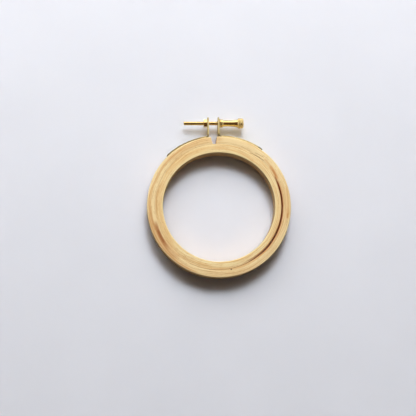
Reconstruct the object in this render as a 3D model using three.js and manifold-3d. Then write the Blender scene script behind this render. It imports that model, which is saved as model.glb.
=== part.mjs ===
// Embroidery hoop: a whole wooden ring inside a split one, which a brass thumb screw draws tight.
// Millimetres, +Z up. The hoop lies flat with its screw along X, and the origin is under its middle.
import * as THREE from "three";
import { mergeVertices } from "three/addons/utils/BufferGeometryUtils.js";
import Module from "manifold-3d";

// Wooden hoops
const outerRadius = 40; // outside of the split hoop
const outerWall = 5;
const innerWall = 3.5;
const lapRise = 1.2; // how much thicker it is where its ends are lapped and glued, behind the slot
const lapSpan = 85; // degrees from the slot to where that thickening starts
const hoopGap = 0.3; // between the two hoops all round, where the cloth goes
const closestGap = 0.15; // where the loose inner hoop lies against the outer one
const closestTurn = 66; // degrees from the slot to that place
const hoopHeight = 9;
const edgeRound = 0.5;

// Slot where the outer hoop is split
const slotTurn = 3.45; // degrees round from the +Y side, toward the screw's tip
const slotOutside = 3.4;
const slotInside = 2;
const endThinning = 0.8; // the wall tapers by this much toward its two ends
const taperSpan = 60; // degrees from the slot to where the taper starts

// Brass brackets, each a strap nailed to the hoop and turned up into an ear
const sheet = 0.8;
const strapHeight = 7;
const strapSpan = 41.5; // degrees from the middle of the slot to the strap's end
const strapCorner = 1.5;
const bendRadius = 0.8; // on the inside of the bend between strap and ear
const earSpacing = 5.9; // from the middle of one ear to the middle of the other
const screwStandoff = 8.6; // from the wood at the slot to the axis of the screw

// Nails that hold the straps
const nailRadius = 0.5;
const nailLength = 3.2;
const nailPoint = 1; // the tapered part of that length
const nailHeadRadius = 1;
const nailHeadHeight = 0.45;
const nailInset = 1.5; // from the strap's end

// Thumb screw: a threaded rod pressed into a turned grip
const rodRadius = 1.1;
const rodReach = 21.15; // from the grip's foot to the tip
const rodSeat = 6; // inside the grip
const rodChamfer = 0.3;
const gripLength = 12.8;
const footRadius = 2.35;
const footLength = 1;
const waistRadius = 1.8;
const waistStart = 2.2; // from the foot's face, as far as its fillet reaches
const waistEnd = 5.6; // where it starts to flare
const waistFillet = 0.2; // how much thicker it is at the foot
const neckRadius = 2.25; // where the flare meets the knurled ring
const knurlRadius = 2.9;
const knurlLength = 3.4;
const knurlDepth = 0.3;
const knurlTeeth = 24;
const knurlChamfer = 0.55;

// Washer and nut
const washerRadius = 2.45;
const washerThickness = 0.8;
const nutAcrossFlats = 4;
const nutThickness = 2;
const nutChamfer = 0.35;

// Clearances
const seatGap = 0.1; // between pieces that lie on each other
const runningGap = 0.25; // round the rod and the nails, where they pass through

// Facets
const ringSteps = 96;
const strapSteps = 12;
const bendSteps = 5;
const turnedSteps = 24;
const nailSteps = 12;
const waistSteps = 12;
const roundSteps = 3;
const cornerSteps = 6;

const wasm = await Module();
wasm.setup();
const radians = THREE.MathUtils.degToRad;
const degrees = THREE.MathUtils.radToDeg;

// Sizes that follow from the ones above
const boreRadius = outerRadius - outerWall;
const innerOutside = boreRadius - hoopGap;
const screwHeight = hoopHeight / 2;
const screwY = woodRadius(0) + screwStandoff;
const earTip = screwY + strapHeight / 2;
const earMiddle = onRing(woodRadius(0), 0).x;
const leftFace = earMiddle - earSpacing / 2 - sheet / 2;
const rightFace = earMiddle + earSpacing / 2 + sheet / 2;
const footFace = rightFace + washerThickness + 2 * seatGap;
const wide = 4 * outerRadius; // longer than anything that it cuts
const weldDistance = 1e-4; // points closer than this are one

// The outer hoop's outside, at an angle in degrees from the middle of the slot
function woodRadius(angle) {
  const share = Math.min(Math.abs(angle) / taperSpan, 1);
  return outerRadius - (endThinning * (1 + Math.cos(Math.PI * share))) / 2;
}

// A point of the plan at a radius, and at an angle in degrees from the middle of the slot
function onRing(radius, angle) {
  const turn = radians(90 + slotTurn + angle);
  return new THREE.Vector2(radius * Math.cos(turn), radius * Math.sin(turn));
}

// Points along a curve of the plan, from one angle to another
function sweep(radiusAt, from, to, steps) {
  return Array.from({ length: steps + 1 }, (_, i) => {
    const angle = THREE.MathUtils.lerp(from, to, i / steps);
    return onRing(radiusAt(angle), angle);
  });
}

function solidOf(geometry) {
  const bare = geometry.clone();
  bare.deleteAttribute("normal");
  bare.deleteAttribute("uv");
  const merged = mergeVertices(bare, weldDistance);
  const vertProperties = merged.attributes.position.array;
  const triVerts = new Uint32Array(merged.index.array);
  return new wasm.Manifold(new wasm.Mesh({ numProp: 3, vertProperties, triVerts }));
}

function geometryOf(solid) {
  const { vertProperties, triVerts } = solid.getMesh();
  const geometry = new THREE.BufferGeometry();
  geometry.setAttribute("position", new THREE.BufferAttribute(vertProperties, 3));
  geometry.setIndex(new THREE.BufferAttribute(triVerts, 1));
  geometry.computeVertexNormals();
  return geometry;
}

// A body turned about X, from pairs of length along X and radius that start and end on the axis
function turned(profile, steps = turnedSteps) {
  const points = profile.map(([x, radius]) => new THREE.Vector2(radius, -x));
  return new THREE.LatheGeometry(points.reverse(), steps).rotateZ(Math.PI / 2);
}

// A round cutter between two points
function drill(radius, from, to) {
  const along = to.clone().sub(from);
  const cutter = new THREE.CylinderGeometry(radius, radius, along.length(), turnedSteps);
  const turn = new THREE.Quaternion().setFromUnitVectors(
    new THREE.Vector3(0, 1, 0),
    along.clone().normalize(),
  );
  cutter.applyQuaternion(turn);
  const middle = from.clone().lerp(to, 0.5);
  return solidOf(cutter.translate(middle.x, middle.y, middle.z));
}

// A strip of even thickness along a path of the plan
function ribbon(path, thickness) {
  const offset = (side) =>
    path.map((point, i) => {
      const before = path[Math.max(i - 1, 0)];
      const after = path[Math.min(i + 1, path.length - 1)];
      const along = after.clone().sub(before).normalize();
      const across = new THREE.Vector2(-along.y, along.x);
      return point.clone().addScaledVector(across, (side * thickness) / 2);
    });
  return new THREE.Shape([...offset(1), ...offset(-1).reverse()]);
}

// The inner hoop: a rectangle with rounded corners, revolved, its inside brought in at the lap
function innerHoopGeometry() {
  const low = edgeRound;
  const high = hoopHeight - edgeRound;
  const inside = innerOutside - innerWall + edgeRound;
  const outside = innerOutside - edgeRound;
  const corners = [
    [outside, low, -90],
    [outside, high, 0],
    [inside, high, 90],
    [inside, low, 180],
  ];
  const profile = corners.flatMap(([radius, z, start]) =>
    Array.from({ length: roundSteps + 1 }, (_, i) => {
      const turn = radians(start + (90 * i) / roundSteps);
      return new THREE.Vector2(
        radius + edgeRound * Math.cos(turn),
        z + edgeRound * Math.sin(turn),
      );
    }),
  );
  profile.push(profile[0].clone());
  const hoop = new THREE.LatheGeometry(profile, ringSteps).rotateX(Math.PI / 2);
  const { position } = hoop.attributes;
  for (let i = 0; i < position.count; i += 1) {
    const point = new THREE.Vector2(position.getX(i), position.getY(i));
    const angle = degrees(point.angle()) - 90 - slotTurn;
    const share = Math.min(Math.abs(angle > 180 ? angle - 360 : angle) / lapSpan, 1);
    const depth = (innerOutside - point.length()) / innerWall;
    point.setLength(point.length() - (depth * lapRise * (1 + Math.cos(Math.PI * share))) / 2);
    position.setXY(i, point.x, point.y);
  }
  hoop.computeVertexNormals();
  return hoop;
}

// The outer hoop: its split outline with rounded edges, drilled for the nails
function outerHoopGeometry() {
  const outsideStart = degrees(Math.asin(slotOutside / 2 / woodRadius(0)));
  const insideStart = degrees(Math.asin(slotInside / 2 / boreRadius));
  const outside = sweep(
    (angle) => woodRadius(Math.min(angle, 360 - angle)),
    outsideStart,
    360 - outsideStart,
    ringSteps,
  );
  const inside = sweep(() => boreRadius, 360 - insideStart, insideStart, ringSteps);
  const body = new THREE.ExtrudeGeometry(new THREE.Shape([...outside, ...inside]), {
    depth: hoopHeight - 2 * edgeRound,
    bevelThickness: edgeRound,
    bevelSize: edgeRound,
    bevelOffset: -edgeRound,
    bevelSegments: roundSteps,
  });
  const drilled = [1, -1].reduce(
    (wood, side) => wood.subtract(nailHole(side)),
    solidOf(body.translate(0, 0, edgeRound)),
  );
  return geometryOf(drilled);
}

// Where a strap's nail goes: side is 1 on the left of the slot and -1 on its right
function nailAngle(side) {
  return side * (strapSpan - degrees(nailInset / strapRadius(strapSpan)));
}

function nailHole(side) {
  const angle = nailAngle(side);
  const deepest = woodRadius(angle) - nailLength - runningGap;
  const inner = onRing(deepest, angle);
  const outer = onRing(outerRadius + 2 * sheet, angle);
  return drill(
    nailRadius + runningGap,
    new THREE.Vector3(inner.x, inner.y, screwHeight),
    new THREE.Vector3(outer.x, outer.y, screwHeight),
  );
}

// The middle of the strap's thickness
function strapRadius(angle) {
  return woodRadius(angle) + seatGap + sheet / 2;
}

// The bracket's path in plan: along the wood, round the bend, and straight out to the ear's tip
function bracketPath(side) {
  const bend = bendRadius + sheet / 2;
  const earX = earMiddle - (side * earSpacing) / 2;
  const bendX = earX - side * bend;
  let near = 0;
  let far = side * strapSpan;
  while (Math.abs(far - near) > weldDistance) {
    const middle = (near + far) / 2;
    const beyond = side * (onRing(strapRadius(middle) + bend, middle).x - bendX) < 0;
    if (beyond) far = middle;
    else near = middle;
  }
  const start = near;
  const centre = onRing(strapRadius(start) + bend, start);
  const strap = sweep(strapRadius, side * strapSpan, start, strapSteps);
  const firstTurn = 90 + slotTurn + start - 180;
  const lastTurn = side > 0 ? 0 : -180;
  const bent = Array.from({ length: bendSteps }, (_, i) => {
    const turn = radians(THREE.MathUtils.lerp(firstTurn, lastTurn, (i + 1) / bendSteps));
    return new THREE.Vector2(
      centre.x + bend * Math.cos(turn),
      centre.y + bend * Math.sin(turn),
    );
  });
  return [...strap, ...bent, new THREE.Vector2(earX, earTip)];
}

// What the ear's side view keeps: straight edges that end in a half circle round the screw
function earOutline() {
  const half = strapHeight / 2;
  const shape = new THREE.Shape();
  shape.moveTo(half, -outerRadius);
  shape.lineTo(half, screwY);
  shape.absarc(0, screwY, half, 0, Math.PI);
  shape.lineTo(-half, -outerRadius);
  const keep = new THREE.ExtrudeGeometry(shape, {
    depth: wide,
    bevelEnabled: false,
    curveSegments: turnedSteps / 2,
  });
  keep.translate(0, 0, -wide / 2).rotateY(Math.PI / 2);
  return solidOf(keep.translate(0, 0, screwHeight));
}

// What the strap's end keeps: a tongue with rounded corners
function tongueOutline(side) {
  const half = strapHeight / 2;
  const corner = half - strapCorner;
  const shape = new THREE.Shape();
  shape.moveTo(wide, -half);
  shape.lineTo(wide, half);
  shape.absarc(strapCorner, corner, strapCorner, Math.PI / 2, Math.PI);
  shape.absarc(strapCorner, -corner, strapCorner, Math.PI, 1.5 * Math.PI);
  const keep = new THREE.ExtrudeGeometry(shape, {
    depth: wide,
    bevelEnabled: false,
    curveSegments: cornerSteps,
  });
  const end = onRing(strapRadius(strapSpan), side * strapSpan);
  const outward = new THREE.Vector3(end.x, end.y, 0).normalize();
  const up = new THREE.Vector3(0, 0, 1);
  const towardSlot = outward.clone().cross(up).multiplyScalar(side);
  const frame = new THREE.Matrix4().makeBasis(
    towardSlot,
    up,
    towardSlot.clone().cross(up),
  );
  frame.setPosition(end.x, end.y, screwHeight);
  return solidOf(keep.translate(0, 0, -wide / 2).applyMatrix4(frame));
}

function bracketGeometry(side) {
  const strip = new THREE.ExtrudeGeometry(ribbon(bracketPath(side), sheet), {
    depth: strapHeight,
    bevelEnabled: false,
  });
  strip.translate(0, 0, screwHeight - strapHeight / 2);
  const screwHole = drill(
    rodRadius + runningGap,
    new THREE.Vector3(-wide, screwY, screwHeight),
    new THREE.Vector3(wide, screwY, screwHeight),
  );
  const bracket = solidOf(strip)
    .intersect(earOutline())
    .intersect(tongueOutline(side))
    .subtract(screwHole)
    .subtract(nailHole(side));
  return geometryOf(bracket);
}

// A nail with a domed head, its point toward -Y and the underside of its head at y = 0
function nailGeometry() {
  const dome = Array.from({ length: roundSteps + 1 }, (_, i) => {
    const turn = ((Math.PI / 2) * i) / roundSteps;
    return new THREE.Vector2(
      nailHeadRadius * Math.cos(turn),
      nailHeadHeight * Math.sin(turn),
    );
  });
  const profile = [
    new THREE.Vector2(0, -nailLength),
    new THREE.Vector2(nailRadius, nailPoint - nailLength),
    new THREE.Vector2(nailRadius, 0),
    ...dome.slice(0, -1),
    new THREE.Vector2(0, nailHeadHeight),
  ];
  return new THREE.LatheGeometry(profile, nailSteps);
}

// The threaded rod, from its tip to its seat in the grip
function rodGeometry() {
  return turned([
    [-rodReach, 0],
    [-rodReach, rodRadius - rodChamfer],
    [rodChamfer - rodReach, rodRadius],
    [rodSeat, rodRadius],
    [rodSeat, 0],
  ]);
}

// The grip: foot, waist and flare in one turning, with a toothed ring at the end
function gripGeometry() {
  const ringStart = gripLength - knurlLength;
  const waist = new THREE.SplineCurve([
    new THREE.Vector2(footLength, waistRadius + waistFillet),
    new THREE.Vector2(waistStart, waistRadius),
    new THREE.Vector2(waistEnd, waistRadius),
    new THREE.Vector2(ringStart, neckRadius),
  ]).getPoints(waistSteps);
  const body = turned([
    [0, 0],
    [0, footRadius],
    [footLength, footRadius],
    ...waist.map(({ x, y }) => [x, y]),
    [gripLength - knurlLength / 2, neckRadius],
    [gripLength - knurlLength / 2, 0],
  ]);
  const ringProfile = [
    [ringStart, 0],
    [ringStart, knurlRadius - knurlChamfer],
    [ringStart + knurlChamfer, knurlRadius],
    [gripLength - knurlChamfer, knurlRadius],
    [gripLength, knurlRadius - knurlChamfer],
    [gripLength, 0],
  ];
  const tooth = Array.from({ length: 2 * knurlTeeth }, (_, i) => {
    const turn = (Math.PI * i) / knurlTeeth;
    const radius = i % 2 ? knurlRadius - knurlDepth : knurlRadius + knurlDepth;
    return new THREE.Vector2(radius * Math.cos(turn), radius * Math.sin(turn));
  });
  const teeth = new THREE.ExtrudeGeometry(new THREE.Shape(tooth), {
    depth: 2 * knurlLength,
    bevelEnabled: false,
  });
  teeth.rotateY(Math.PI / 2).translate(ringStart - knurlLength / 2, 0, 0);
  const seat = drill(
    rodRadius + seatGap,
    new THREE.Vector3(-seatGap, 0, 0),
    new THREE.Vector3(rodSeat + seatGap, 0, 0),
  );
  const ring = solidOf(turned(ringProfile, 2 * knurlTeeth)).intersect(solidOf(teeth));
  return geometryOf(solidOf(body).add(ring).subtract(seat));
}

// A plate across X with a round hole, from an outline in the YZ plane
function boredPlate(outline, hole, thickness) {
  outline.holes.push(new THREE.Path().absarc(0, 0, hole, 0, 2 * Math.PI));
  const plate = new THREE.ExtrudeGeometry(outline, {
    depth: thickness,
    bevelEnabled: false,
    curveSegments: turnedSteps,
  });
  return plate.rotateY(Math.PI / 2);
}

function washerGeometry() {
  const outline = new THREE.Shape().absarc(0, 0, washerRadius, 0, 2 * Math.PI);
  return boredPlate(outline, rodRadius + runningGap, washerThickness);
}

// The nut: a hexagon with its corners turned off at both faces
function nutGeometry() {
  const corner = nutAcrossFlats / Math.sqrt(3);
  const outline = new THREE.Shape(
    Array.from({ length: 6 }, (_, i) => {
      const turn = (Math.PI / 3) * i;
      return new THREE.Vector2(corner * Math.cos(turn), corner * Math.sin(turn));
    }),
  );
  const hexagon = boredPlate(outline, rodRadius + runningGap, nutThickness);
  const envelope = turned([
    [0, 0],
    [0, corner - nutChamfer],
    [nutChamfer / 2, corner],
    [nutThickness - nutChamfer / 2, corner],
    [nutThickness, corner - nutChamfer],
    [nutThickness, 0],
  ]);
  return geometryOf(solidOf(hexagon).intersect(solidOf(envelope)));
}

const paleWood = new THREE.MeshStandardMaterial({ color: 0xe6c894, roughness: 0.65, metalness: 0 });
const innerWood = new THREE.MeshStandardMaterial({ color: 0xe2bf88, roughness: 0.65, metalness: 0 });
const sheetBrass = new THREE.MeshStandardMaterial({ color: 0xc8b878, roughness: 0.45, metalness: 1 });
const turnedBrass = new THREE.MeshStandardMaterial({ color: 0xd9b45a, roughness: 0.25, metalness: 1 });

function piece(name, geometry, material) {
  const mesh = new THREE.Mesh(geometry, material.clone());
  mesh.name = name;
  return mesh;
}

function nail(name, side) {
  const mesh = piece(name, nailGeometry(), turnedBrass);
  const angle = nailAngle(side);
  const seat = onRing(woodRadius(angle) + sheet + 2 * seatGap, angle);
  mesh.position.set(seat.x, seat.y, screwHeight);
  mesh.rotation.z = radians(slotTurn + angle);
  return mesh;
}

const screwLine = new THREE.Group();
screwLine.position.set(0, screwY, screwHeight);
const rod = piece("screw_rod", rodGeometry(), turnedBrass);
const grip = piece("screw_grip", gripGeometry(), turnedBrass);
const washer = piece("washer", washerGeometry(), turnedBrass);
const nut = piece("hex_nut", nutGeometry(), turnedBrass);
rod.position.x = footFace;
grip.position.x = footFace;
washer.position.x = rightFace + seatGap;
nut.position.x = leftFace - seatGap - nutThickness;
screwLine.add(rod, grip, washer, nut);

const innerHoop = piece("inner_hoop", innerHoopGeometry(), innerWood);
const shift = onRing(hoopGap - closestGap, closestTurn);
innerHoop.position.set(shift.x, shift.y, 0);

const embroideryHoop = new THREE.Group();
embroideryHoop.position.y = (outerRadius - earTip) / 2;
embroideryHoop.add(
  innerHoop,
  piece("outer_hoop", outerHoopGeometry(), paleWood),
  piece("left_bracket", bracketGeometry(1), sheetBrass),
  piece("right_bracket", bracketGeometry(-1), sheetBrass),
  nail("left_nail", 1),
  nail("right_nail", -1),
  screwLine,
);

export default embroideryHoop;
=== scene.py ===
# Embroidery hoop: two bentwood hoops that hold cloth between them, and the brass fitting and thumb
# screw that draw the outer one tight. Pieces are drawn in millimetres about the hoops' middle, and
# then set into the frame, in metres.
import bmesh
import bpy
import math
from mathutils import Matrix, Vector
from mathutils.geometry import tessellate_polygon


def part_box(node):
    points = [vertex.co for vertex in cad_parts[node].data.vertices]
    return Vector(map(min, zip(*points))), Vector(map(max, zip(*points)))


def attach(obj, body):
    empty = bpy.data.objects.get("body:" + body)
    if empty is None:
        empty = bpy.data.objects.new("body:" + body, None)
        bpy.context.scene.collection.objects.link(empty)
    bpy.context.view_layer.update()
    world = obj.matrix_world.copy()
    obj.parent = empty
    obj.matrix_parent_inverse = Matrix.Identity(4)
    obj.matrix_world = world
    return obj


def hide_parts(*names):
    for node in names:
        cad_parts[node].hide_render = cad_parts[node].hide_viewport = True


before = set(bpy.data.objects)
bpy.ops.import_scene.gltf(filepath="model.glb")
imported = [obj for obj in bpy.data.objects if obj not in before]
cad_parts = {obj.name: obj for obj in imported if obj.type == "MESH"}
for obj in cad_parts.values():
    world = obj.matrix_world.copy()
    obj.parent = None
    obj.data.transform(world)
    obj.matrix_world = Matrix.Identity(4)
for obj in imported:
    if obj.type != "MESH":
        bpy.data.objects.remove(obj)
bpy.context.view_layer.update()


# Inner hoop

# A strip of beech bent into a closed ring that the cloth is laid over, its ends lapped and glued
# behind the slot, where it is thicker. Sanded and left bare, its layers show as streaks on the top.
outer_radius = 40
outer_wall = 5
inner_wall = 3.5
lap_rise = 1.2  # how much thicker the wall is at the lap
lap_span = 85  # degrees from the slot to where that thickening starts
hoop_height = 9
hoop_edge = 0.5  # sanded round where a hand holds it
inner_edge = 0.32
meeting_edge = 0.05  # crisper where one hoop faces the other
pressed_gap = 0.02  # drawn tight, the hoops touch all but on one side
parted_gap = 0.28
parting = (195, 232, 278, 297)  # degrees from the slot: parting starts, is full, ends, is shut
gap_shade_turn = 250  # the middle of the painted shade on the gap's walls, in the same degrees
slot_turn = 3.45  # degrees from the +Y side to the slot of the outer hoop
ring_steps = 360
edge_steps = 6
bore_radius = outer_radius - outer_wall
hoop_middle = Vector((0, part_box("outer_hoop")[0].y + outer_radius / 1000, 0))


def linear(colour):
    """The linear value of an sRGB hex colour."""
    parts = [int(colour[i : i + 2], 16) / 255 for i in (0, 2, 4)]
    return [c / 12.92 if c <= 0.04045 else ((c + 0.055) / 1.055) ** 2.4 for c in parts] + [1]


def add(tree, kind, links=(), **settings):
    """Adds a node with its settings. links gives a value, a socket or a node to each input.

    A Mix node takes its two colours at 6 and 7, and gives its own at output 2.
    """
    node = tree.nodes.new(kind)
    for name, value in settings.items():
        setattr(node, name, value)
    for name, value in dict(links).items():
        if isinstance(value, bpy.types.Node):
            value = next(out for out in value.outputs if out.enabled)
        if isinstance(value, bpy.types.NodeSocket):
            tree.links.new(value, node.inputs[name])
        else:
            node.inputs[name].default_value = value
    return node


def shape_tree(name, inputs):
    """A new tree of Geometry Nodes with those named inputs, and the sockets that give them."""
    tree = bpy.data.node_groups.new(name, "GeometryNodeTree")
    for label, kind in inputs.items():
        tree.interface.new_socket(label, in_out="INPUT", socket_type="NodeSocket" + kind)
    tree.interface.new_socket("Shape", in_out="OUTPUT", socket_type="NodeSocketGeometry")
    return tree, tree.nodes.new("NodeGroupInput").outputs


def end_tree(tree, shape, material):
    """Ends a tree of Geometry Nodes with its instances made real, in that material."""
    real = add(tree, "GeometryNodeRealizeInstances", {"Geometry": shape})
    faced = add(tree, "GeometryNodeSetMaterial", {"Geometry": real, "Material": material})
    add(tree, "NodeGroupOutput", {0: faced})


def grow(name, tree, values, start=None):
    """The plain mesh that a tree gives for those values, as a new object."""
    piece = bpy.data.objects.new(name, start or bpy.data.meshes.new(name))
    bpy.context.scene.collection.objects.link(piece)
    modifier = piece.modifiers.new(tree.name, "NODES")
    modifier.node_group = tree
    for item in tree.interface.items_tree:
        if item.name in values:
            modifier[item.identifier] = values[item.name]
    bpy.context.view_layer.update()
    shaped = piece.evaluated_get(bpy.context.evaluated_depsgraph_get())
    mesh = bpy.data.meshes.new_from_object(shaped)
    piece.modifiers.clear()
    piece.data = mesh
    return piece


def settle(piece, crease=40):
    """Turns a piece's faces outward, smooths them up to a crease in degrees, and places it."""
    form = bmesh.new()
    form.from_mesh(piece.data)
    bmesh.ops.remove_doubles(form, verts=form.verts, dist=1e-5)
    bmesh.ops.recalc_face_normals(form, faces=form.faces)
    for face in form.faces:
        face.smooth = True
    form.to_mesh(piece.data)
    form.free()
    piece.data.set_sharp_from_angle(angle=math.radians(crease))
    piece.data.transform(Matrix.Translation(hoop_middle) @ Matrix.Scale(0.001, 4))


def on_ring(radius, angle):
    """A point in plan, at an angle in degrees from the middle of the slot."""
    turn = math.radians(90 + slot_turn + angle)
    return Vector((radius * math.cos(turn), radius * math.sin(turn), 0))


def ring_place(point):
    """The radius of a point, and its angle in degrees from the middle of the slot."""
    return point.xy.length, (math.degrees(math.atan2(point.y, point.x)) - 90 - slot_turn) % 360


def apart(angle):
    """How far the hoops have parted at an angle from the slot, from 0 to 1."""
    rise = min(max((angle - parting[0]) / (parting[1] - parting[0]), 0), 1)
    fall = min(max((parting[3] - angle) / (parting[3] - parting[2]), 0), 1)
    part = min(rise, fall)
    return part * part * (3 - 2 * part)


def give(piece, name, values):
    """Stores a value on each vertex, for the material to read."""
    piece.data.attributes.new(name, "FLOAT", "POINT").data.foreach_set("value", values)


def hoop_tree(name, path_kind, path_links):
    """A hoop: a rectangle with four rounded edges, carried round a path."""
    tree, given = shape_tree(name, {
        "Middle Radius": "Float", "Wall": "Float", "Height": "Float",
        "Outside Edge": "Float", "Inside Edge": "Float",
        "Start": "Float", "Sweep": "Float", "Wood": "Material",
    })
    links = {to: given[value] if isinstance(value, str) else value
             for to, value in path_links.items()}
    path = add(tree, path_kind, {**links, "Radius": given["Middle Radius"]})
    section = add(tree, "GeometryNodeCurvePrimitiveQuadrilateral",
                  {"Width": given["Wall"], "Height": given["Height"]})
    place = add(tree, "ShaderNodeSeparateXYZ", {0: add(tree, "GeometryNodeInputPosition")})
    outside = add(tree, "FunctionNodeCompare", {"A": place, "B": 0.0}, operation="GREATER_THAN")
    rounding = add(tree, "GeometryNodeSwitch", {
        "Switch": outside, "False": given["Inside Edge"], "True": given["Outside Edge"],
    }, input_type="FLOAT")
    rounded = add(tree, "GeometryNodeFilletCurve",
                  {"Curve": section, "Radius": rounding, "Count": edge_steps}, mode="POLY")
    swept = add(tree, "GeometryNodeCurveToMesh",
                {"Curve": path, "Profile Curve": rounded, "Fill Caps": True})
    half = add(tree, "ShaderNodeMath", {0: given["Height"], 1: 0.5}, operation="MULTIPLY")
    lift = add(tree, "ShaderNodeCombineXYZ", {"Z": half})
    raised = add(tree, "GeometryNodeSetPosition", {"Geometry": swept, "Offset": lift})
    end_tree(tree, raised, given["Wood"])
    return tree


def blank_material(name):
    """A new material, and its node tree, emptied."""
    material = bpy.data.materials.new(name)
    material.use_nodes = True
    material.node_tree.nodes.clear()
    return material, material.node_tree


def beech(name, tones, free_side, edge_wear_and_highlight, marks):
    """Beech, steam-bent, sanded and bare: streaks along the ring, short dark rays, a soft surface.

    tones are its pale, middle, warm and dark colours, free_side the side of its wall (0 is the
    inside) whose edge is painted pale, partly wear by hands and partly a painted highlight along
    its rounding, and marks are stains, cracks, knots and painted gap shade on its top.
    """
    wood, tree = blank_material(name)
    coordinates = add(tree, "ShaderNodeTexCoord")
    scaled = add(tree, "ShaderNodeMapping", {
        "Vector": coordinates.outputs["Object"],
        "Location": [-1000 * c for c in hoop_middle],
        "Scale": (1000, 1000, 1000),
    })
    turned = add(tree, "ShaderNodeMapping",
                 {"Vector": scaled, "Rotation": (0, 0, math.radians(90 - slot_turn))})
    parts = add(tree, "ShaderNodeSeparateXYZ", {0: turned}).outputs
    plan = add(tree, "ShaderNodeCombineXYZ", {"X": parts["X"], "Y": parts["Y"]})
    radius = add(tree, "ShaderNodeVectorMath", {0: plan}, operation="LENGTH")
    outward = add(tree, "ShaderNodeVectorMath", {0: plan}, operation="NORMALIZE")
    bearing = add(tree, "ShaderNodeMath", {0: parts["Y"], 1: parts["X"]}, operation="ARCTAN2")
    turn = add(tree, "ShaderNodeMath", {0: bearing, 1: 180 / math.pi, 2: 180.0},
               operation="MULTIPLY_ADD")

    # The layers wander a little, so that the streaks aren't perfect circles
    sway = add(tree, "ShaderNodeTexNoise", {"Vector": outward, "Scale": 1.3, "Detail": 2.0})
    wander = add(tree, "ShaderNodeMath", {0: sway, 1: 3.2, 2: radius}, operation="MULTIPLY_ADD")
    across = add(tree, "ShaderNodeCombineXYZ", {"Z": wander})
    grain = add(tree, "ShaderNodeVectorMath", {0: outward, 1: across}, operation="ADD")
    figure = {}
    for seed, (label, length, width, height, detail) in enumerate((
        ("bands", 55, 1.7, 6, 2.0),  # millimetres along the ring, across it and up it
        ("layers", 26, 0.55, 2.2, 2.0),
        ("streaks", 12, 0.2, 0.8, 1.0),
        ("rays", 2.2, 0.16, 0.5, 0.0),  # longer than real ones, so that they show
        ("blotches", 9, 4, 6, 2.0),
    )):
        around = bore_radius / length
        stretched = add(tree, "ShaderNodeMapping", {
            "Vector": grain,
            "Location": (7.3 * seed, 3.1 * seed, 0),  # each from its own part of the noise
            "Scale": (around, around, 1 / width),
        })
        level = add(tree, "ShaderNodeMath", {0: parts["Z"], 1: 1 / height}, operation="MULTIPLY")
        figure[label] = add(tree, "ShaderNodeTexNoise",
                            {"Vector": stretched, "W": level, "Scale": 1.0, "Detail": detail},
                            noise_dimensions="4D")

    # How far a point lies from the pale edge, the bore and the painted gap shade, and how level it
    # faces
    across_wall = add(tree, "ShaderNodeAttribute", attribute_name="across").outputs["Fac"]
    facing = add(tree, "ShaderNodeSeparateXYZ", {0: coordinates.outputs["Normal"]}).outputs
    off = {}
    for label, value, place in (
        ("edge", across_wall, float(free_side)),
        ("bore", radius, float(bore_radius)),
        ("gap shade place", turn, float(gap_shade_turn)),
        ("upright", facing["Z"], 0.0),
    ):
        aside = add(tree, "ShaderNodeMath", {0: value, 1: place}, operation="SUBTRACT")
        off[label] = add(tree, "ShaderNodeMath", {0: aside}, operation="ABSOLUTE")
    # How much of each shows: where it is none, where it is full, and its most
    shown = {}
    for label, value, none_at, full_at, most in (
        ("bands", figure["bands"], 0.4, 0.62, 1.0),
        ("layers", figure["layers"], 0.5, 0.7, 0.75),
        ("blotches", figure["blotches"], 0.5, 0.75, 0.35),
        ("streaks", figure["streaks"], 0.54, 0.72, 0.5),
        ("rays", figure["rays"], 0.66, 0.76, 0.55),
        ("top", parts["Z"], hoop_height - 1.5, hoop_height - 0.4, 1.0),
        # The free edge is painted pale: partly wear by hands, partly a painted highlight along its
        # rounding
        ("edge", off["edge"], 0.2, 0.06, edge_wear_and_highlight),
        # The upright faces are darkened: painted shade for walls in shadow, and a warmer grain
        ("side", off["upright"], 0.6, 0.2, 1.0),
        ("side layers", figure["layers"], -0.4, 1.0, 0.8),
        # Near the gap, the upright walls of the bore get painted shade
        ("near bore", off["bore"], 1.0, 0.7, 0.85),
        ("near gap", off["gap shade place"], 65, 45, 1.0),
        ("bore side", off["upright"], 0.8, 0.5, 1.0),
    ):
        shown[label] = add(tree, "ShaderNodeMapRange", {
            "Value": value, "From Min": none_at, "From Max": full_at, "To Max": most,
        }, interpolation_type="SMOOTHSTEP")

    pale, common, warm, dark = tones
    coats = [(common, shown["bands"]), (warm, shown["layers"]), (warm, shown["blotches"]),
             (dark, shown["streaks"]), (dark, shown["rays"])]
    for shade, from_turn, to_turn, from_radius, to_radius, half_width, strength in marks:
        slope = (to_radius - from_radius) / (to_turn - from_turn)
        line = add(tree, "ShaderNodeMath", {0: turn, 1: slope, 2: from_radius - slope * from_turn},
                   operation="MULTIPLY_ADD")
        aside = add(tree, "ShaderNodeMath", {0: radius, 1: line}, operation="SUBTRACT")
        from_line = add(tree, "ShaderNodeMath", {0: aside}, operation="ABSOLUTE")
        # A fine line stays whole, and a stain has a ragged edge
        rag = half_width**2 / (half_width + 0.5)
        ragged = add(tree, "ShaderNodeMath", {0: figure["streaks"], 1: rag, 2: from_line},
                     operation="MULTIPLY_ADD")
        along = add(tree, "ShaderNodeMath", {0: turn, 1: (from_turn + to_turn) / 2},
                    operation="SUBTRACT")
        past = add(tree, "ShaderNodeMath", {0: along}, operation="ABSOLUTE")
        span = abs(to_turn - from_turn)
        amount = shown["top"]
        for value, none_at, full_at, most in (
            (ragged, 1.1 * half_width + rag / 2, 0.2 * half_width + rag / 2, strength),
            (past, span / 2, span / 3, 1.0),
        ):
            part = add(tree, "ShaderNodeMapRange", {
                "Value": value, "From Min": none_at, "From Max": full_at, "To Max": most,
            }, interpolation_type="SMOOTHSTEP")
            amount = add(tree, "ShaderNodeMath", {0: amount, 1: part}, operation="MULTIPLY")
        coats.append((shade, amount))
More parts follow.
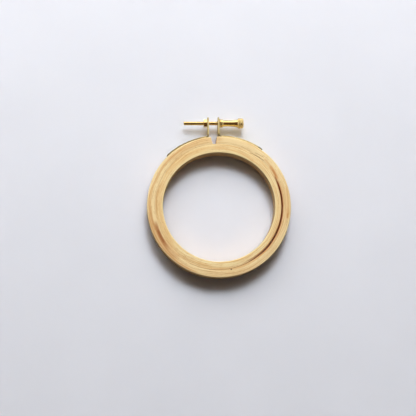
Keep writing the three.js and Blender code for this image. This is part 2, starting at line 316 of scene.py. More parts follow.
    # The sides are cut along the grain, a warmer brown, and are painted darker: painted shade for
    # walls that stand in shadow. By the gap they are painted redder: painted shade between the
    # hoops
    side = add(tree, "ShaderNodeMath", {0: shown["side"], 1: shown["side layers"]},
               operation="MULTIPLY")
    # Painted shade on the walls by the gap between the hoops
    near = add(tree, "ShaderNodeMath", {0: shown["near bore"], 1: shown["near gap"]},
               operation="MULTIPLY")
    gap_shade = add(tree, "ShaderNodeMath", {0: near, 1: shown["bore side"]}, operation="MULTIPLY")
    coats += [("FAE6AC", shown["edge"]), ("A66A38", side), ("C4602C", gap_shade)]
    colour = linear(pale)
    for tone, amount in coats:
        colour = add(tree, "ShaderNodeMix", {"Factor": amount, 6: colour, 7: linear(tone)},
                     data_type="RGBA").outputs[2]

    fine = add(tree, "ShaderNodeMath", {0: figure["rays"], 1: figure["streaks"]}, operation="ADD")
    texture = add(tree, "ShaderNodeMath", {0: figure["layers"], 1: fine}, operation="ADD")
    relief = add(tree, "ShaderNodeBump", {"Height": texture, "Distance": 0.00006, "Strength": 0.5})
    gloss = add(tree, "ShaderNodeMapRange", {
        "Value": figure["layers"], "From Min": 0.3, "From Max": 0.7, "To Min": 0.52, "To Max": 0.7,
    })
    surface = add(tree, "ShaderNodeBsdfPrincipled", {
        "Base Color": colour, "Roughness": gloss, "Normal": relief,
        "IOR": 1.45, "Specular IOR Level": 0.2,
    })
    add(tree, "ShaderNodeOutputMaterial", {"Surface": surface})
    return wood


inner_low, inner_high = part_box("inner_hoop")
inner_outside = 500 * (inner_high.x - inner_low.x)
inner_beech = beech(
    "beech_bentwood_sanded_inner", ("F8E2AC", "EBC88E", "E0AE6E", "BA7E48"), 0, 0.75,
    (
        # colour, turn from and to, radius from and to, half width, strength
        ("A2582E", 196, 299, 34.62, 34.62, 0.3, 0.85),  # painted shade where the hoops part
        ("A2632E", 196, 252, 34.25, 34.4, 0.45, 0.5),  # and painted shade further in on the near side
        ("8F5C30", 310, 327, 35.9, 34.6, 0.3, 0.6),  # the splinter's near end
    ),
)
closed_hoop = hoop_tree("Closed hoop", "GeometryNodeCurvePrimitiveCircle",
                        {"Resolution": ring_steps})
inner_hoop = grow("inner_hoop_bentwood", closed_hoop, {
    "Middle Radius": inner_outside - inner_wall / 2,
    "Wall": inner_wall,
    "Height": float(hoop_height),
    "Outside Edge": meeting_edge,
    "Inside Edge": inner_edge,
    "Wood": inner_beech,
})
across_wall = []
for vertex in inner_hoop.data.vertices:
    radius, angle = ring_place(vertex.co)
    share_out = (radius - inner_outside + inner_wall) / inner_wall
    lap = (1 + math.cos(math.pi * min(min(angle, 360 - angle) / lap_span, 1))) / 2
    outside = bore_radius - pressed_gap - (parted_gap - pressed_gap) * apart(angle)
    radius += share_out * (outside - inner_outside) - (1 - share_out) * lap_rise * lap
    vertex.co = on_ring(radius, angle) + Vector((0, 0, vertex.co.z))
    across_wall.append(share_out)
give(inner_hoop, "across", across_wall)
settle(inner_hoop)
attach(inner_hoop, "inner_ring")
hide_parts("inner_hoop")


# Outer hoop

# A thicker ring of the same beech, left open at one place so that it can be drawn tight. Its wall
# is thinned toward the two sawn ends, which stand apart as a wedge-shaped slot.
end_thinning = 0.8
taper_span = 60  # degrees from the slot to where the thinning starts
slot_outside = 3.4
slot_inside = 2
saw_edge = 0.15  # the sawn ends are only broken at their edges
bore_relief = 0.35  # the bore is worn where the hoops part
open_angle = 2 * math.degrees(math.asin(slot_outside / 2 / (outer_radius - end_thinning)))

outer_beech = beech(
    "beech_bentwood_sanded_outer", ("F5DCA7", "E4BE86", "D8A061", "AA713B"), 1, 0.35,
    (
        # colour, turn from and to, radius from and to, half width, strength
        ("CF8B48", 20, 96, 37.6, 38.2, 0.5, 0.3),  # a warm layer down the left side
        ("D08A44", 88, 160, 39.3, 39.0, 0.6, 0.7),
        ("C08248", 84, 142, 37.9, 38.4, 1.0, 0.45),
        ("F8E0AC", 312, 357, 37.4, 37.6, 1.7, 0.65),  # pale layers by the screw and opposite it
        ("F2D9A4", 178, 264, 37.4, 37.5, 0.8, 0.35),
        ("BA7A44", 99, 141, 36.5, 37.0, 1.4, 0.4),  # water stain, darker toward its middle
        ("B0703E", 98, 129, 36.5, 36.9, 1.3, 0.45),
        ("9C5C32", 102, 125, 36.55, 36.9, 1.1, 0.45),
        ("8E4E28", 107, 121, 36.6, 36.85, 1.0, 0.5),
        ("D0955A", 302, 313, 36.5, 36.9, 0.9, 0.4),  # resin spots, the second with a dark middle
        ("CE8A48", 290, 305, 35.9, 36.4, 1.2, 0.65),
        ("B5713A", 293, 301, 36.0, 36.2, 0.6, 0.5),
        ("CE8F4C", 254, 284, 38.4, 38.9, 0.8, 0.45),  # a warm layer near the edge, with a spot
        ("BC7836", 255, 260, 38.4, 38.4, 0.5, 0.6),
        ("96502A", 281, 295, 35.4, 35.35, 0.3, 0.85),  # a crack leads from the resin to the gap
        ("A2542A", 262, 291, 35.55, 35.5, 0.35, 0.8),  # painted shade along the gap's edge
        ("A2542A", 202, 236, 35.15, 35.5, 0.3, 0.8),
        ("A2542A", 212, 268, 35.5, 35.55, 0.35, 0.8),
        ("8F5C30", 312.5, 323, 37.25, 36.1, 0.26, 0.5),  # splinter, two fine lines
        ("8F5C30", 310, 327, 35.9, 34.6, 0.3, 0.75),
        ("8A5A30", 148, 168, 36.1, 35.85, 0.18, 0.6),  # hair crack along the near side
        ("7A4A26", 164, 181, 35.9, 35.55, 0.18, 0.85),
        ("7A4A26", 178, 198, 35.62, 35.3, 0.18, 0.85),
        ("8A4C22", 194, 212, 35.35, 35.2, 0.22, 0.85),
        ("3A2010", 185.3, 186.9, 36.05, 36.1, 0.4, 0.95),  # pin knot
    ),
)


def wood_radius(angle):
    """The outer hoop's outside, at an angle in degrees from the middle of the slot."""
    part = min(abs(angle) / taper_span, 1)
    return outer_radius - end_thinning * (1 + math.cos(math.pi * part)) / 2


split_hoop = hoop_tree("Split hoop", "GeometryNodeCurveArc",
                       {"Resolution": ring_steps, "Start Angle": "Start", "Sweep Angle": "Sweep"})
outer_hoop = grow("outer_hoop_bentwood", split_hoop, {
    "Middle Radius": outer_radius - outer_wall / 2,
    "Wall": float(outer_wall),
    "Height": float(hoop_height),
    "Outside Edge": hoop_edge,
    "Inside Edge": meeting_edge,
    "Start": math.radians(90 + slot_turn + open_angle / 2),
    "Sweep": math.radians(360 - open_angle),
    "Wood": outer_beech,
})
inside_angle = 2 * math.degrees(math.asin(slot_inside / 2 / bore_radius))
across_wall = []
for vertex in outer_hoop.data.vertices:
    radius, angle = ring_place(vertex.co)
    share_out = (radius - bore_radius) / outer_wall
    opening = inside_angle + share_out * (open_angle - inside_angle)
    angle = 180 + (angle - 180) * (360 - opening) / (360 - open_angle)
    thinned = radius - share_out * (outer_radius - wood_radius(min(angle, 360 - angle)))
    thinned += (1 - share_out) * bore_relief * apart(angle)
    vertex.co = on_ring(thinned, angle) + Vector((0, 0, vertex.co.z))
    across_wall.append(share_out)
give(outer_hoop, "across", across_wall)
broken = bmesh.new()
broken.from_mesh(outer_hoop.data)
sawn_ends = [face for face in broken.faces if len(face.verts) > 4]
bmesh.ops.bevel(
    broken, geom=[edge for face in sawn_ends for edge in face.edges],
    offset=saw_edge, segments=2, profile=0.5, affect="EDGES",
)
broken.to_mesh(outer_hoop.data)
broken.free()
settle(outer_hoop)
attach(outer_hoop, "outer_ring")
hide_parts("outer_hoop")


# Brackets

# Two straps cut from sheet brass, rounded at both ends and pierced. Each lies on the hoop beside
# the slot, and is bent up into an ear for the screw.
sheet = 0.8
strap_height = 7
strap_span = 41.5  # degrees from the middle of the slot
strap_corner = 1.5
bend_radius = 0.8
ear_spacing = 5.9
screw_standoff = 8.6  # from the wood at the slot to the screw's axis
seat_gap = 0.1
sheet_edge = 0.14  # left by the press and the tumbler
darkening_most = 0.9  # the most darkening, from 0 to 1: painted shade in the bend, and a darker cut edge at the strap's end
bend_shade_reach = 0.8  # how far it fades out past the bend
end_dark_reach = 3.6  # how far it runs along the cut edge from the strap's end
tip_dark = 0.5  # the most on the cut edge at the ear's tip
tip_dark_rise = 0.4  # for each millimetre past the screw, on the cut edge
face_dark_rise = 0.1  # and on the faces
left_shade_from = -6.5  # along X, where a painted dark reflection starts on the left strap
left_shade_to = -11
rod_radius = 1.1
screw_clearance = 0.25
nail_radius = 0.5
nail_inset = 1.5
strap_steps = 120
bend_steps = 24
screw_height = hoop_height / 2
screw_y = wood_radius(0) + screw_standoff
ear_middle = on_ring(wood_radius(0), 0).x


def sheet_brass():
    """Brass, rolled sheet, blanked and tumbled: satin lines along the strap and a dull olive film.

    Painted shade darkens the bend, and a painted dark reflection the left strap. The cut edge is
    darker round both ends.
    """
    brass, tree = blank_material("brass_rolled_sheet_tarnished")
    flat = add(tree, "ShaderNodeAttribute", attribute_name="flat").outputs["Vector"]
    # Scales for each millimetre: lines 4 mm long and 0.14 mm apart, film in patches of about 2 mm
    # and dark specks of about 0.25 mm
    rolled = add(tree, "ShaderNodeMapping", {"Vector": flat, "Scale": (0.25, 7, 3)})
    lines = add(tree, "ShaderNodeTexNoise", {"Vector": rolled, "Scale": 1.0, "Detail": 3.0})
    film = add(tree, "ShaderNodeTexNoise", {"Vector": flat, "Scale": 0.45, "Detail": 4.0})
    specks = add(tree, "ShaderNodeTexNoise", {"Vector": flat, "Scale": 4.0, "Detail": 1.0})
    amount = add(tree, "ShaderNodeMapRange", {"Value": film, "From Min": 0.35, "From Max": 0.7})
    body = add(tree, "ShaderNodeMix",
               {"Factor": amount, 6: linear("DDC98E"), 7: linear("C6B078")}, data_type="RGBA")
    spotted = add(tree, "ShaderNodeMapRange",
                  {"Value": specks, "From Min": 0.66, "From Max": 0.78, "To Max": 0.6})
    # Painted shade in the bend, and darker ends, stored on the bracket
    bent = add(tree, "ShaderNodeAttribute", attribute_name="bent").outputs["Fac"]
    place = add(tree, "ShaderNodeTexCoord").outputs["Object"]
    # Painted dark reflection, growing toward the left strap's end
    left = add(tree, "ShaderNodeMapRange", {
        "Value": add(tree, "ShaderNodeSeparateXYZ", {0: place}).outputs["X"],
        "From Min": left_shade_from / 1000, "From Max": left_shade_to / 1000, "To Max": 0.7,
    })
    shade_and_dark_ends = add(tree, "ShaderNodeMath", {0: left, 1: bent}, operation="MAXIMUM")
    dark = add(tree, "ShaderNodeMath", {0: shade_and_dark_ends, 1: spotted}, operation="MAXIMUM")
    colour = add(tree, "ShaderNodeMix",
                 {"Factor": dark, 6: body.outputs[2], 7: linear("5E5226")}, data_type="RGBA")
    surface = add(tree, "ShaderNodeBsdfPrincipled", {
        "Base Color": colour.outputs[2],
        "Metallic": add(tree, "ShaderNodeMapRange",
                        {"Value": amount, "To Min": 0.3, "To Max": 0.1}),
        "Roughness": add(tree, "ShaderNodeMapRange",
                         {"Value": amount, "To Min": 0.5, "To Max": 0.68}),
        "Normal": add(tree, "ShaderNodeBump",
                      {"Height": lines, "Distance": 0.00003, "Strength": 0.4}),
    })
    add(tree, "ShaderNodeOutputMaterial", {"Surface": surface})
    return brass


def bracket_path(side):
    """The middle of the sheet in plan, from the strap's end to the ear's tip."""
    def strap_radius(angle):
        return wood_radius(angle) + seat_gap + sheet / 2

    bend = bend_radius + sheet / 2
    ear_x = ear_middle - side * ear_spacing / 2
    start, beyond = 0.0, float(strap_span)
    for _ in range(40):
        middle = (start + beyond) / 2
        x = on_ring(strap_radius(middle) + bend, side * middle).x
        if side * (x - ear_x + side * bend) < 0:
            beyond = middle
        else:
            start = middle
    centre = on_ring(strap_radius(start) + bend, side * start)
    points = []
    for i in range(strap_steps + 1):
        angle = strap_span + (start - strap_span) * i / strap_steps
        points.append(on_ring(strap_radius(angle), side * angle))
    first = 90 + slot_turn + side * start - 180
    last = 0 if side > 0 else -180
    for i in range(1, bend_steps + 1):
        turn = math.radians(first + (last - first) * i / bend_steps)
        points.append(centre + bend * Vector((math.cos(turn), math.sin(turn), 0)))
    points.append(Vector((ear_x, screw_y, 0)))
    points.append(Vector((ear_x, screw_y + strap_height, 0)))
    return points


def blank_outline(length, inset):
    """The flat blank: a strap with two rounded corners, and a round end for the ear."""
    half = strap_height / 2 - inset
    corner = strap_corner - inset
    points = []
    for middle, radius, first, last, steps in (
        ((strap_corner, -strap_height / 2 + strap_corner), corner, 180, 270, 8),
        ((length, 0), half, -90, 90, 36),
        ((strap_corner, strap_height / 2 - strap_corner), corner, 90, 180, 8),
    ):
        for i in range(steps + 1):
            turn = math.radians(first + (last - first) * i / steps)
            points.append(Vector((middle[0] + radius * math.cos(turn),
                                  middle[1] + radius * math.sin(turn), 0)))
    return points


def hole_outline(along, radius):
    """A hole pierced in the blank."""
    steps = 36
    return [Vector((along + radius * math.cos(2 * math.pi * i / steps),
                    radius * math.sin(2 * math.pi * i / steps), 0)) for i in range(steps)]


def piece_of(name, form, material):
    """A new piece in that material, from a form that it uses up."""
    mesh = bpy.data.meshes.new(name)
    form.to_mesh(mesh)
    form.free()
    mesh.materials.append(material)
    piece = bpy.data.objects.new(name, mesh)
    bpy.context.scene.collection.objects.link(piece)
    return piece


def bracket(name, side, brass):
    """A bracket: its flat blank, cut across where it curves, and then bent along its path."""
    path = bracket_path(side)
    distance = [0.0]
    for before, after in zip(path, path[1:]):
        distance.append(distance[-1] + (after - before).length)
    screw_at = distance[-2]
    levels = [(sheet_edge * (1 - math.sin(a)), sheet / 2 - sheet_edge * (1 - math.cos(a)))
              for a in (0, math.pi / 4, math.pi / 2)]
    levels = [(inset, -height) for inset, height in levels] + [*reversed(levels)]
    form = bmesh.new()
    rings = []
    for inset, height in levels:
        loops = [
            blank_outline(screw_at, inset),
            hole_outline(nail_inset, nail_radius + screw_clearance + inset),
            hole_outline(screw_at, rod_radius + screw_clearance + inset),
        ]
        rings.append([[form.verts.new(point + Vector((0, 0, height))) for point in loop]
                      for loop in loops])
    for lower, upper in zip(rings, rings[1:]):
        for low, high in zip(lower, upper):
            for i in range(len(low)):
                j = (i + 1) % len(low)
                form.faces.new((low[i], low[j], high[j], high[i]))
    for ring in (rings[0], rings[-1]):
        corners = [vertex for loop in ring for vertex in loop]
        for triangle in tessellate_polygon([[vertex.co for vertex in loop] for loop in ring]):
            form.faces.new([corners[i] for i in triangle])
    bend_from, bend_to = distance[strap_steps], distance[strap_steps + bend_steps]
    for cut in (*distance[1:-2], bend_to + bend_shade_reach / 3, bend_to + bend_shade_reach):
        everything = [*form.verts, *form.edges, *form.faces]
        bmesh.ops.bisect_plane(form, geom=everything, plane_co=(cut, 0, 0), plane_no=(1, 0, 0))
    flat = form.verts.layers.float_vector.new("flat")
    bent = form.verts.layers.float.new("bent")
    for vertex in form.verts:
        vertex[flat] = vertex.co
        along, up, out = vertex.co
        # The bend gets painted shade, fading past it. The cut edge is darker toward the strap's
        # end, and the ear past the screw
        past = max(bend_from - along, along - bend_to, 0)
        if abs(out) < sheet / 2 - sheet_edge / 5:  # on the cut edge
            ends = max(min((end_dark_reach - along) / nail_inset, darkening_most),
                       min(tip_dark_rise * (along - screw_at), tip_dark))
        else:
            ends = face_dark_rise * (along - screw_at)
        vertex[bent] = max(darkening_most * max(1 - past / bend_shade_reach, 0) ** 2, ends, 0)
        part = next(i for i in range(1, len(path)) if along <= distance[i] or i == len(path) - 1)
        before, after = path[part - 1], path[part]
        heading = (after - before).normalized()
        point = before + heading * (along - distance[part - 1])
        share_along = (along - distance[part - 1]) / (distance[part] - distance[part - 1])
        first = second = heading
        if part < len(path) - 2:  # the sheet turns smoothly from one length of the path to the next
            first = (after - path[part - 2]).normalized() if part > 1 else heading
            second = (path[part + 1] - before).normalized()
        facing = first.lerp(second, share_along).normalized()
        across = Vector((-facing.y, facing.x, 0)) * side
        vertex.co = point + across * out + Vector((0, 0, screw_height + up))
    piece = piece_of(name, form, brass)
    settle(piece, 35)
    return piece


rolled_brass = sheet_brass()
for side, word in ((1, "left"), (-1, "right")):
    strap = bracket(f"{word}_bracket_sheet", side, rolled_brass)
    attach(strap, "outer_ring")
    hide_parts(f"{word}_bracket")


# Nails

# Two small nails with domed heads, turned from brass that has gone dull. Each is driven into the
# wood through the hole near a strap's end, and holds the strap there.
nail_length = 3.2
nail_point = 1
nail_head_radius = 1
nail_head_height = 0.45
strap_end_radius = wood_radius(strap_span) + seat_gap + sheet / 2
nail_angle = strap_span - math.degrees(nail_inset / strap_end_radius)


def turned_brass(name, bright, dull, glossy, matt):
    """Brass, turned: rings left by the tool, a patchy film, and brown where no cloth wipes."""
    brass, tree = blank_material(name)
    # Scales for each metre: rings about 0.1 mm apart, and film in patches of about 1.5 mm
    place = add(tree, "ShaderNodeTexCoord").outputs["Object"]
    turned = add(tree, "ShaderNodeMapping", {"Vector": place, "Scale": (9000, 300, 300)})
    rings = add(tree, "ShaderNodeTexNoise", {"Vector": turned, "Scale": 1.0, "Detail": 2.0})
    cloud = add(tree, "ShaderNodeMapping", {"Vector": place, "Scale": (700, 700, 700)})
    film = add(tree, "ShaderNodeTexNoise", {"Vector": cloud, "Scale": 1.0, "Detail": 4.0})
    amount = add(tree, "ShaderNodeMapRange", {"Value": film, "From Min": 0.4, "From Max": 0.75})
    body = add(tree, "ShaderNodeMix", {"Factor": amount, 6: linear(bright), 7: linear(dull)},
               data_type="RGBA")
    groove = add(tree, "ShaderNodeAttribute", attribute_name="groove").outputs["Fac"]
    hollow = add(tree, "ShaderNodeMapRange",
                 {"Value": groove, "From Min": 0.35, "From Max": 0.95, "To Max": 0.35})
    colour = add(tree, "ShaderNodeMix",
                 {"Factor": hollow, 6: body.outputs[2], 7: linear("5A3414")}, data_type="RGBA")
    gloss = add(tree, "ShaderNodeMapRange", {
        "Value": film, "From Min": 0.3, "From Max": 0.8, "To Min": glossy, "To Max": matt,
    })
    relief = add(tree, "ShaderNodeBump", {"Height": rings, "Distance": 0.00001, "Strength": 0.35})
    surface = add(tree, "ShaderNodeBsdfPrincipled", {
        "Base Color": colour.outputs[2], "Metallic": 1.0, "Roughness": gloss, "Normal": relief,
    })
    add(tree, "ShaderNodeOutputMaterial", {"Surface": surface})
    return brass


def lathe(name, profile, steps, brass, placed):
    """A body turned about X from pairs of length and radius, closed on the axis at both ends."""
    form = bmesh.new()
    rings = []
    for along, radius in profile:
        count = steps if radius > 0 else 1
        rings.append([form.verts.new((along, radius * math.cos(2 * math.pi * i / steps),
                                      radius * math.sin(2 * math.pi * i / steps)))
                      for i in range(count)])
    for one, other in zip(rings, rings[1:]):
        for i in range(steps):
            j = (i + 1) % steps
            corners = (one[i % len(one)], one[j % len(one)],
                       other[j % len(other)], other[i % len(other)])
            form.faces.new(list(dict.fromkeys(corners)))
    form.transform(placed)
    return piece_of(name, form, brass)


dull_brass = turned_brass("brass_turned_tarnished", "7C6834", "574320", 0.5, 0.75)
dome = [(nail_head_height * math.sin(a), nail_head_radius * math.cos(a))
        for a in (math.pi / 2 * i / 10 for i in range(10))]
nail_profile = [(-nail_length, 0), (-nail_length + nail_point, nail_radius), (0, nail_radius),
                *dome, (nail_head_height, 0)]
for side, word in ((1, "left"), (-1, "right")):
    seat = on_ring(wood_radius(nail_angle) + sheet + 2 * seat_gap, side * nail_angle)
    seat.z = screw_height
    facing_out = Matrix.Rotation(math.radians(90 + slot_turn + side * nail_angle), 4, "Z")
    nail = lathe(f"{word}_nail_brass", nail_profile, 32, dull_brass,
                 Matrix.Translation(seat) @ facing_out)
    settle(nail)
    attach(nail, "outer_ring")
    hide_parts(f"{word}_nail")


# Hex nut

# A small brass nut outside the left ear, milled to six flats, chamfered on both faces and tapped.
# It bears on the ear while the rod turns in it.
nut_across_flats = 4
nut_thickness = 2
nut_chamfer = 0.35
nut_bore = 1.16  # the tops of its thread
nut_countersink = 0.25
left_face = ear_middle - ear_spacing / 2 - sheet / 2
right_face = ear_middle + ear_spacing / 2 + sheet / 2
nut_x = left_face - seat_gap - nut_thickness
nut_corner = nut_across_flats / math.sqrt(3)
face_radius = nut_corner - nut_chamfer


def pierced(name, half_section, thickness, steps, brass, along_screw):
    """A body with a bore, alike on both faces, from half its section at a turn about the screw."""
    form = bmesh.new()
    sections = []
    for i in range(steps):
        turn = 2 * math.pi * i / steps
        half = half_section(turn)
        sections.append([
            form.verts.new((x, radius * math.cos(turn), radius * math.sin(turn)))
            for x, radius in [*half, *((thickness - x, radius) for x, radius in reversed(half))]
        ])
    for one, other in zip(sections, sections[1:] + sections[:1]):
        for i in range(len(one)):
            j = (i + 1) % len(one)
            form.faces.new((one[i], one[j], other[j], other[i]))
    form.transform(Matrix.Translation((along_screw, screw_y, screw_height)))
    return piece_of(name, form, brass)


def nut_section(turn):
    """The nut's six flats, chamfered to a round face, and its countersunk bore."""
    within = (turn + math.pi / 6) % (math.pi / 3) - math.pi / 6
    flat_radius = nut_across_flats / 2 / math.cos(within)
    rise = max(flat_radius - face_radius, 0) / 2
    return [(nut_countersink, nut_bore), (0, nut_bore + nut_countersink),
            (0, min(flat_radius, face_radius)), (rise, flat_radius)]


polished_brass = turned_brass("brass_turned_polished", "F0DA9E", "DFBC7A", 0.1, 0.26)
nut = pierced("hex_nut_brass", nut_section, nut_thickness, 72, polished_brass, nut_x)
settle(nut, 25)
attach(nut, "outer_ring")
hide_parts("hex_nut")


# Washer

# A loose washer between the grip's foot and the right ear, pressed from brass and polished. It
# keeps the turning foot off the ear.
washer_radius = 2.45
washer_thickness = 0.8
washer_edge = 0.15
washer_bore = rod_radius + screw_clearance
washer_x = right_face + seat_gap


def washer_section(turn):
    """The washer's flat ring, with its edges rounded by the press."""
    return [(washer_edge, washer_bore), (0, washer_bore + washer_edge),
            (0, washer_radius - washer_edge), (washer_edge / 3, washer_radius - washer_edge / 3),
            (washer_edge, washer_radius)]


washer = pierced("washer_brass", washer_section, washer_thickness, 64, polished_brass, washer_x)
settle(washer)
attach(washer, "loose_washer")
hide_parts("washer")


# Screw rod

# A brass rod with a fine rolled thread along it, from its chamfered tip to its seat in the grip.
# It passes through both ears and the nut, and draws the ears together.
rod_reach = 21.15
rod_seat = 6
rod_chamfer = 0.3
thread_pitch = 0.45
thread_depth = 0.05
thread_stop = 0.3  # before the grip's foot
thread_runout = 0.4
foot_face = right_face + washer_thickness + 2 * seat_gap


def groove_tree():
    """Helical grooves cut into a turned body: one for a thread, or many crossed for a knurl."""
    tree, given = shape_tree("Helical grooves", {
        "Body": "Geometry", "From": "Float", "To": "Float", "Fade": "Float", "Pitch": "Float",
        "Starts": "Float", "Crossed": "Float", "Depth": "Float", "Brass": "Material",
    })
    place = add(tree, "GeometryNodeInputPosition")
    parts = add(tree, "ShaderNodeSeparateXYZ", {0: place}).outputs
    known = {socket.name: socket for socket in (*given, *parts)}
    for label, operation, *terms in (
        ("turn", "ARCTAN2", "Z", "Y"),
        ("turns", "DIVIDE", "turn", 2 * math.pi),
        ("around", "MULTIPLY", "turns", "Starts"),
        ("along", "DIVIDE", "X", "Pitch"),
        ("right-hand", "ADD", "along", "around"),
        ("right-hand phase", "FRACT", "right-hand"),
        ("right-hand swing", "MULTIPLY_ADD", "right-hand phase", 2.0, -1.0),
        ("right-hand cut", "ABSOLUTE", "right-hand swing"),
        ("left-hand", "SUBTRACT", "along", "around"),
        ("left-hand phase", "FRACT", "left-hand"),
        ("left-hand swing", "MULTIPLY_ADD", "left-hand phase", 2.0, -1.0),
        ("left-hand cut", "ABSOLUTE", "left-hand swing"),
        ("crossing cut", "MULTIPLY", "left-hand cut", "Crossed"),
        ("deeper cut", "MAXIMUM", "right-hand cut", "crossing cut"),
        ("past start", "SUBTRACT", "X", "From"),
        ("entry", "DIVIDE", "past start", "Fade"),
        ("before end", "SUBTRACT", "To", "X"),
        ("exit", "DIVIDE", "before end", "Fade"),
        ("nearer end", "MINIMUM", "entry", "exit"),
        ("held below 1", "MINIMUM", "nearer end", 1.0),
        ("within", "MAXIMUM", "held below 1", 0.0),
        ("cut", "MULTIPLY", "deeper cut", "within"),
        ("sunk", "MULTIPLY", "cut", "Depth"),
        ("inward", "MULTIPLY", "sunk", -1.0),
    ):
        links = {i: known[term] if isinstance(term, str) else term
                 for i, term in enumerate(terms)}
        known[label] = add(tree, "ShaderNodeMath", links, operation=operation)
    stored = add(tree, "GeometryNodeStoreNamedAttribute",
                 {"Geometry": given["Body"], "Name": "groove", "Value": known["cut"]},
                 data_type="FLOAT", domain="POINT")
    flat = add(tree, "ShaderNodeCombineXYZ", {"Y": parts["Y"], "Z": parts["Z"]})
    outward = add(tree, "ShaderNodeVectorMath", {0: flat}, operation="NORMALIZE")
    offset = add(tree, "ShaderNodeVectorMath", {0: outward, "Scale": known["inward"]},
                 operation="SCALE")
    sunk = add(tree, "GeometryNodeSetPosition", {"Geometry": stored, "Offset": offset})
    end_tree(tree, sunk, given["Brass"])
    return tree


def stations(first, last, step):
    """Places along X, evenly spaced at about a step."""
    count = max(round((last - first) / step), 1)
    return [first + (last - first) * i / count for i in range(count + 1)]


grooves = groove_tree()
rod_steps = 32
plain_rod = [(-rod_reach, 0), (-rod_reach, rod_radius - rod_chamfer)]
plain_rod += [(x, rod_radius) for x in stations(rod_chamfer - rod_reach, 1, thread_pitch / 8)]
plain_rod += [(rod_seat, rod_radius), (rod_seat, 0)]
rod_blank = lathe("screw_rod_blank", plain_rod, rod_steps, polished_brass, Matrix())
rod = grow("screw_rod_threaded", grooves, {
    "From": rod_chamfer / 2 - rod_reach,
    "To": -thread_stop,
    "Fade": thread_runout,
    "Pitch": thread_pitch,
    "Starts": 1.0,
    "Crossed": 0.0,
    "Depth": thread_depth,
    "Brass": polished_brass,
}, rod_blank.data)
bpy.data.objects.remove(rod_blank)
rod.data.transform(Matrix.Translation((foot_face, screw_y, screw_height)))
settle(rod, 70)
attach(rod, "thumb_screw")
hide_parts("screw_rod")


# Screw grip

# The part that the fingers turn: one brass turning with a foot, a slim waist and a flare, and a
# ring at its end that is cross-knurled so that it doesn't slip. It is pressed onto the rod.
grip_length = 12.8
foot_radius = 2.35
foot_length = 1
foot_edge = 0.2
waist_radius = 1.8
waist_start = 2.2
waist_end = 5.6
waist_fillet = 0.2
flare_bow = 0.6  # how early the flare widens
neck_radius = 2.25
knurl_radius = 2.9
knurl_length = 3.4
knurl_chamfer = 0.55
knurl_depth = 0.14
knurl_starts = 26
knurl_pitch = 0.85  # along the grip, for diamonds a little longer than wide
knurl_margin = 0.1
knurl_runout = 0.35
faces_to_groove = 8
bore_gap = 0.1
end_recess = 0.12  # its end face, inside a narrow rim
end_rim = 0.3
centre_mark_radius = 0.7
centre_mark_depth = 0.3
ring_start = grip_length - knurl_length


def waist_profile():
    """Fillet, slim waist and flare between the foot and the knurled ring."""
    points = []
    for x in stations(foot_length, ring_start, 0.2):
        if x < waist_start:
            part = (waist_start - x) / (waist_start - foot_length)
            radius = waist_radius + waist_fillet * part**2
        elif x < waist_end:
            radius = waist_radius
        else:
            part = (x - waist_end) / (ring_start - waist_end)
            flare = part**2 * (1 + flare_bow * (1 - part))
            radius = waist_radius + (neck_radius - waist_radius) * flare
        points.append((x, radius))
    return points


seat_radius = rod_radius + bore_gap
grip_profile = [(rod_seat + bore_gap, 0), (rod_seat + bore_gap, seat_radius), (0, seat_radius)]
grip_profile += [(0, foot_radius - foot_edge), (foot_edge / 3, foot_radius - foot_edge / 3),
                 (foot_edge, foot_radius), (foot_length - foot_edge, foot_radius),
                 (foot_length - foot_edge / 3, foot_radius - foot_edge / 3)]
grip_profile += waist_profile()
for x in stations(ring_start, grip_length, 0.08):
    inset = max(ring_start + knurl_chamfer - x, x - grip_length + knurl_chamfer, 0)
    grip_profile.append((x, max(knurl_radius - inset, neck_radius)))
grip_profile += [(grip_length - end_recess, knurl_radius - knurl_chamfer - end_rim),
                 (grip_length - end_recess, centre_mark_radius),
                 (grip_length - centre_mark_depth, 0)]
grip_steps = knurl_starts * faces_to_groove
grip_blank = lathe("screw_grip_blank", grip_profile, grip_steps, polished_brass, Matrix())
grip = grow("screw_grip_knurled", grooves, {
    "From": ring_start + knurl_margin,
    "To": grip_length - knurl_margin,
    "Fade": knurl_runout,
    "Pitch": knurl_pitch,
    "Starts": float(knurl_starts),
    "Crossed": 1.0,
    "Depth": knurl_depth,
    "Brass": polished_brass,
}, grip_blank.data)
bpy.data.objects.remove(grip_blank)
grip.data.transform(Matrix.Translation((foot_face, screw_y, screw_height)))
settle(grip, 28)
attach(grip, "thumb_screw")
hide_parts("screw_grip")


# Floor

# A plain table top of white acrylic, sanded matt, far wider than any view of the hoop. Light
# spreads a little way inside it, which softens and warms the narrow shadow of the screw.
floor_half = 3.0
floor_drop = 0.00003  # just under the hoop, so that the two faces don't flicker
floor_mesh = bpy.data.meshes.new("floor")
floor_corners = [(x * floor_half, y * floor_half, -floor_drop)
                 for x, y in ((-1, -1), (1, -1), (1, 1), (-1, 1))]
floor_mesh.from_pydata(floor_corners, [], [(0, 1, 2, 3)])
acrylic, acrylic_tree = blank_material("acrylic_white_sanded")
mottle = add(acrylic_tree, "ShaderNodeTexNoise", {
    "Vector": add(acrylic_tree, "ShaderNodeTexCoord").outputs["Object"],
    "Scale": 18.0, "Detail": 3.0,
})
acrylic_colour = add(acrylic_tree, "ShaderNodeMix", {
    "Factor": mottle, 6: linear("E3E4EB"), 7: linear("EBECF3"),
}, data_type="RGBA")
acrylic_surface = add(acrylic_tree, "ShaderNodeBsdfPrincipled", {
    "Base Color": acrylic_colour.outputs[2], "Roughness": 0.9, "Specular IOR Level": 0.1,
    "Subsurface Weight": 1.0, "Subsurface Radius": (1.0, 0.85, 0.7), "Subsurface Scale": 0.012,
}, subsurface_method="BURLEY")
add(acrylic_tree, "ShaderNodeOutputMaterial", {"Surface": acrylic_surface})
floor_mesh.materials.append(acrylic)
floor = bpy.data.objects.new("floor", floor_mesh)
bpy.context.scene.collection.objects.link(floor)


# Light

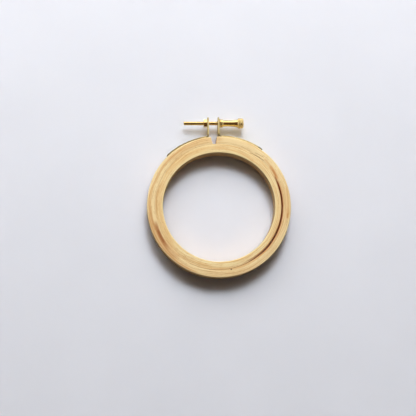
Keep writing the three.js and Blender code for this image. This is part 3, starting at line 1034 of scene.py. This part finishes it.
# As by a window behind the screw: a bright patch of sky and a wide dimmer one lower down. The
# gloss of the brass shows two cards in place of the lamps: a pale one low behind the screw, for its
# light streak, and a brown one overhead and on the near side, for the dark one.
def lamp(name, wide, tall, distance, bearing, height, power):
    """An oval soft lamp that faces the hoop, at degrees round from +X and degrees above it."""
    data = bpy.data.lights.new(name, "AREA")
    data.shape = "ELLIPSE"
    data.size = wide
    data.size_y = tall
    data.energy = power
    turn, rise = math.radians(bearing), math.radians(height)
    level = Vector((math.cos(turn), math.sin(turn), 0))
    toward = level * math.cos(rise) + Vector((0, 0, math.sin(rise)))
    made = bpy.data.objects.new(name, data)
    made.location = hoop_middle + toward * distance
    made.rotation_euler = toward.to_track_quat("Z", "Y").to_euler()
    made.visible_camera = False
    made.visible_glossy = False
    bpy.context.scene.collection.objects.link(made)


lamp("bright_sky", wide=0.59, tall=0.5, distance=1.85, bearing=83, height=49, power=30.2)
lamp("wide_sky", wide=1.2, tall=0.36, distance=0.8, bearing=100, height=30, power=4.0)


def card(name, half, path, tone, glow):
    """A glowing card, bent along a path of Y and Z in metres, that only gloss shows."""
    mesh = bpy.data.meshes.new(name)
    mesh.from_pydata(
        [(x, y, z) for y, z in path for x in (-half, half)],
        [], [(2 * i, 2 * i + 1, 2 * i + 3, 2 * i + 2) for i in range(len(path) - 1)],
    )
    glowing, tree = blank_material(name)
    light = add(tree, "ShaderNodeEmission", {"Color": linear(tone), "Strength": glow})
    add(tree, "ShaderNodeOutputMaterial", {"Surface": light})
    mesh.materials.append(glowing)
    made = bpy.data.objects.new(name, mesh)
    made.visible_camera = False
    made.visible_diffuse = False
    made.visible_shadow = False
    bpy.context.scene.collection.objects.link(made)


behind = [(1.1, 0.03), (1.02, 0.4), (0.54, 0.85)]
over = [(0.5, 0.87), (0.3, 0.92), (0, 0.95), (-0.6, 0.8), (-1.0, 0.3), (-1.05, 0.08)]
card("pale_card", half=1.3, path=behind, tone="FFFAEE", glow=2.0)
card("dark_card", half=0.62, path=over, tone="604A34", glow=1.0)

world = bpy.data.worlds.new("pale_room")
world.use_nodes = True
bpy.context.scene.world = world
room = world.node_tree
room.nodes.clear()
ray = add(room, "ShaderNodeLightPath").outputs
seen = add(room, "ShaderNodeMath", {0: ray["Is Camera Ray"], 1: ray["Is Glossy Ray"]},
           operation="MAXIMUM")
shown = add(room, "ShaderNodeMath", {0: seen, 1: ray["Is Transmission Ray"]}, operation="MAXIMUM")
dim = add(room, "ShaderNodeBackground", {"Color": linear("F2F1F6"), "Strength": 0.03})
white = add(room, "ShaderNodeBackground", {"Color": linear("F2F1F6"), "Strength": 1.0})
blend = add(room, "ShaderNodeMixShader", {0: shown, 1: dim, 2: white})
add(room, "ShaderNodeOutputWorld", {"Surface": blend})


# Camera

# Held by hand half a metre up, nearly above the hoop and a little toward the near left. Its place
# and lens were fitted to the outlines of the hoops in the photograph.
camera_foot = Vector((-0.03783, -0.08516, 0.52993))  # from the hoops' middle
camera_target = Vector((-0.00629, -0.00139, hoop_height / 1000))
camera_roll = math.radians(0.87)
focal_share = 955.6 / 416  # the lens, in widths of the picture
camera_data = bpy.data.cameras.new("camera")
camera_data.sensor_width = 36
camera_data.lens = focal_share * camera_data.sensor_width
camera_data.clip_start = 0.01
camera = bpy.data.objects.new("camera", camera_data)
camera.location = hoop_middle + camera_foot
back = (camera_foot - camera_target).normalized()
across = Vector((math.sin(camera_roll), math.cos(camera_roll), 0)).cross(back).normalized()
camera.rotation_euler = Matrix((across, back.cross(across), back)).transposed().to_euler()
bpy.context.scene.collection.objects.link(camera)
bpy.context.scene.camera = camera
bpy.context.scene.view_settings.view_transform = "Standard"
